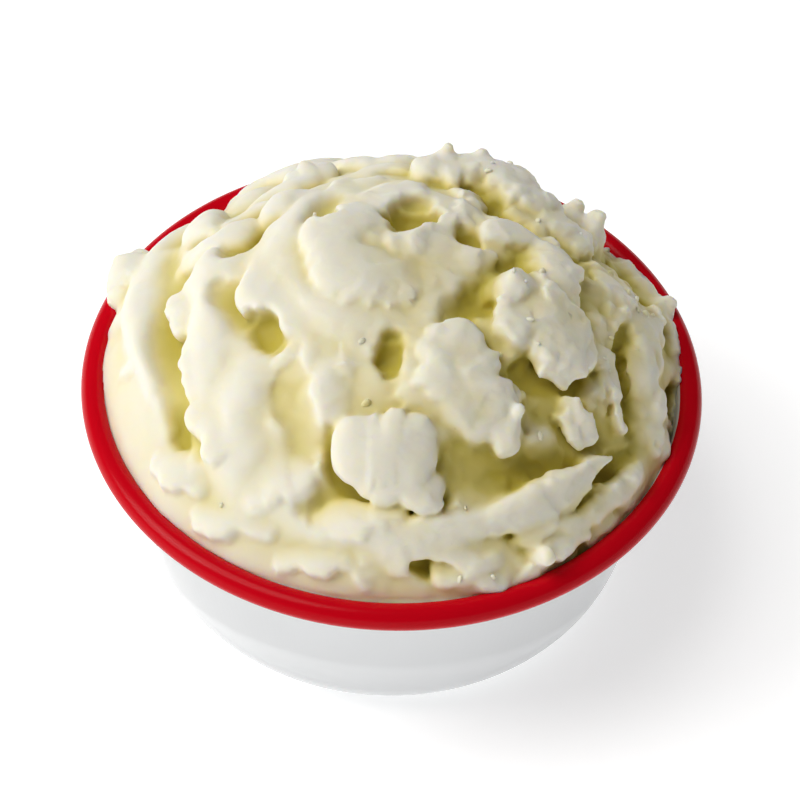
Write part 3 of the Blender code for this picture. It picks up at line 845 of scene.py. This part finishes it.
def crumbTree(material):  # loose grains of potato, half sunk in the torn parts
    tree = bpy.data.node_groups.new("mash crumbs", "GeometryNodeTree")
    socket(tree, "Geometry", "NodeSocketGeometry")
    for name in ("Density", "Smallest", "Largest", "Ragged"):
        socket(tree, name, "NodeSocketFloat")
    socket(tree, "Seed", "NodeSocketInt")
    socket(tree, "Geometry", "NodeSocketGeometry", "OUTPUT")
    start = addNode(tree, "NodeGroupInput")
    torn = addNode(tree, "GeometryNodeInputNamedAttribute", {"data_type": "FLOAT"}, values={"Name": "torn"})
    hollow = addNode(tree, "GeometryNodeInputNamedAttribute", {"data_type": "FLOAT"}, values={"Name": "hollow"})
    place = addNode(tree, "GeometryNodeInputPosition")
    high = addNode(tree, "ShaderNodeSeparateXYZ", links={0: place.outputs[0]})
    above = addNode(tree, "ShaderNodeMapRange", links={"Value": high.outputs[2]},
                    values={"From Min": 0.056, "From Max": 0.060})
    patches = addNode(tree, "ShaderNodeTexNoise", values={"Scale": 70.0, "Detail": 1.0})
    patchy = addNode(tree, "ShaderNodeMapRange", links={"Value": patches.outputs[0]},
                     values={"From Min": 0.5, "From Max": 0.65})
    share = addNode(tree, "ShaderNodeMapRange", links={"Value": torn.outputs[0]},
                    values={"From Min": 0.4, "From Max": 1.1, "To Min": 0.05})
    low = addNode(tree, "ShaderNodeMapRange", links={"Value": hollow.outputs[0]},
                  values={"From Min": 0.2, "From Max": 0.7, "To Min": 1.0, "To Max": 0.15})
    density = start.outputs["Density"]
    for factor in (above, patchy, share, low):
        density = addNode(tree, "ShaderNodeMath", {"operation": "MULTIPLY"},
                          {0: density, 1: factor.outputs[0]}).outputs[0]
    points = addNode(tree, "GeometryNodeDistributePointsOnFaces",
                     links={"Mesh": start.outputs["Geometry"], "Density": density,
                            "Seed": start.outputs["Seed"]})
    ball = addNode(tree, "GeometryNodeMeshIcoSphere", values={"Radius": 0.5, "Subdivisions": 2})
    size = addNode(tree, "FunctionNodeRandomValue", {"data_type": "FLOAT"},
                   {"Min": start.outputs["Smallest"], "Max": start.outputs["Largest"],
                    "Seed": start.outputs["Seed"]})
    turn = addNode(tree, "FunctionNodeRandomValue", {"data_type": "FLOAT_VECTOR"},
                   {"Seed": start.outputs["Seed"]}, {0: (-3.0, -3.0, -3.0), 1: (3.0, 3.0, 3.0)})
    squash = addNode(tree, "ShaderNodeCombineXYZ", links={0: size.outputs[1], 1: size.outputs[1],
                                                         2: size.outputs[1]})
    flatter = addNode(tree, "ShaderNodeVectorMath", {"operation": "MULTIPLY"}, {0: squash.outputs[0]})
    flatter.inputs[1].default_value = (1.3, 1.0, 0.7)
    spread = addNode(tree, "GeometryNodeInstanceOnPoints",
                     links={"Points": points.outputs["Points"], "Instance": ball.outputs["Mesh"],
                            "Rotation": turn.outputs[0], "Scale": flatter.outputs[0]})
    real = addNode(tree, "GeometryNodeRealizeInstances", links={"Geometry": spread.outputs[0]})
    noise = addNode(tree, "ShaderNodeTexNoise", values={"Scale": 1400.0, "Detail": 1.0})
    centred = addNode(tree, "ShaderNodeMath", {"operation": "SUBTRACT"}, {0: noise.outputs[0]}, {1: 0.5})
    height = addNode(tree, "ShaderNodeMath", {"operation": "MULTIPLY"},
                     {0: centred.outputs[0], 1: start.outputs["Ragged"]})
    normal = addNode(tree, "GeometryNodeInputNormal")
    offset = addNode(tree, "ShaderNodeVectorMath", {"operation": "SCALE"},
                     {0: normal.outputs[0], "Scale": height.outputs[0]})
    move = addNode(tree, "GeometryNodeSetPosition",
                   links={"Geometry": real.outputs[0], "Offset": offset.outputs[0]})
    smooth = addNode(tree, "GeometryNodeSetShadeSmooth", links={"Geometry": move.outputs[0]})
    paint = addNode(tree, "GeometryNodeSetMaterial", links={"Geometry": smooth.outputs[0]},
                    values={"Material": material})
    addNode(tree, "NodeGroupOutput", links={"Geometry": paint.outputs[0]})
    return tree


def thinned(mesh, share):
    piece = link(bpy.data.objects.new("mash_fine", mesh))
    piece.modifiers.new("Thin", "DECIMATE").ratio = share
    graph = bpy.context.evaluated_depsgraph_get()
    result = bpy.data.meshes.new_from_object(piece.evaluated_get(graph))
    bpy.data.objects.remove(piece)
    return result


def makeMash():
    field, scooped, low, voxel = heapField()
    print("mash: field", field.shape)
    grid = openvdb.FloatGrid(3.0)
    grid.copyFromArray(np.clip(field / voxel, -3, 3))
    places, triangles, quads = grid.convertToPolygons(isovalue=0.0, adaptivity=0.0)
    mesh = bpy.data.meshes.new("mash_fine")
    mesh.from_pydata(((places * voxel + low) * mm).tolist(), [], triangles.tolist() + quads.tolist())
    fillBowl(mesh)
    mesh = thinned(mesh, heap["kept"])
    spots = np.empty(len(mesh.vertices) * 3, np.float32)
    mesh.vertices.foreach_get("co", spots)
    spots = spots.reshape(-1, 3) / mm
    places = (spots - low) / voxel

    # How enclosed each place is, from the share of mash within a few reaches of it; the mash colour paints shade by
    # it.
    solid = (field < 0).astype(np.float32)
    near, wide, deep = (sampled(blur(solid, int(round(reach / voxel))), places) for reach in (1.6, 3.6, 7.0))
    # Painted shade: scooped-out places count as more hollow, so they are painted darker and yellower.
    scoopedShade = sampled(blur(scooped, int(round(1.0 / voxel))), places)
    torn = raggedness(spots[:, 0], spots[:, 1])
    # Painted shade: the ragged right side, away from the key light, counts as more hollow and is painted darker and
    # yellower.
    hollow = 1.2 * (0.4 * near + 0.6 * wide - 0.42) + 2.8 * (deep - 0.44) + 0.22 * scoopedShade + 0.32 * (torn - 0.3)
    # Painted shade: the mash low down by the rim is painted darker and yellower.
    hollow += 0.3 * np.clip((68 - spots[:, 2]) / 12, 0, 1)
    for name, value in {"hollow": np.clip(hollow, 0, 1), "torn": torn}.items():
        layer = mesh.attributes.new(name, "FLOAT", "POINT")
        layer.data.foreach_set("value", value.astype(np.float32))
    mesh.shade_smooth()
    material = mashMaterial("buttered mashed potato", 1.0)
    core = link(bpy.data.objects.new("mash_core", mesh))
    finished = applied(core, reliefTree(material), {"Depth": heap["relief"] * mm, "Size": heap["reliefSize"] * mm},
                       "mash_heap")
    bpy.data.objects.remove(core)
    piece = link(bpy.data.objects.new("mash_heap", finished))
    grains = applied(piece, crumbTree(mashMaterial("loose potato grains", 0.5)),
                     {"Density": crumbs["density"], "Smallest": crumbs["smallest"] * mm,
                      "Largest": crumbs["largest"] * mm, "Ragged": crumbs["ragged"] * mm,
                      "Seed": crumbs["seed"]}, "mash_crumbs")
    loose = link(bpy.data.objects.new("mash_crumbs", grains))
    for item in (piece, loose):
        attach(item, "root")
    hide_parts("mash")
    print("mash:", len(finished.polygons), "faces;", "crumbs:", len(grains.polygons), "faces")


makeCamera()
makeStudio()
makeBowl()
makeMash()
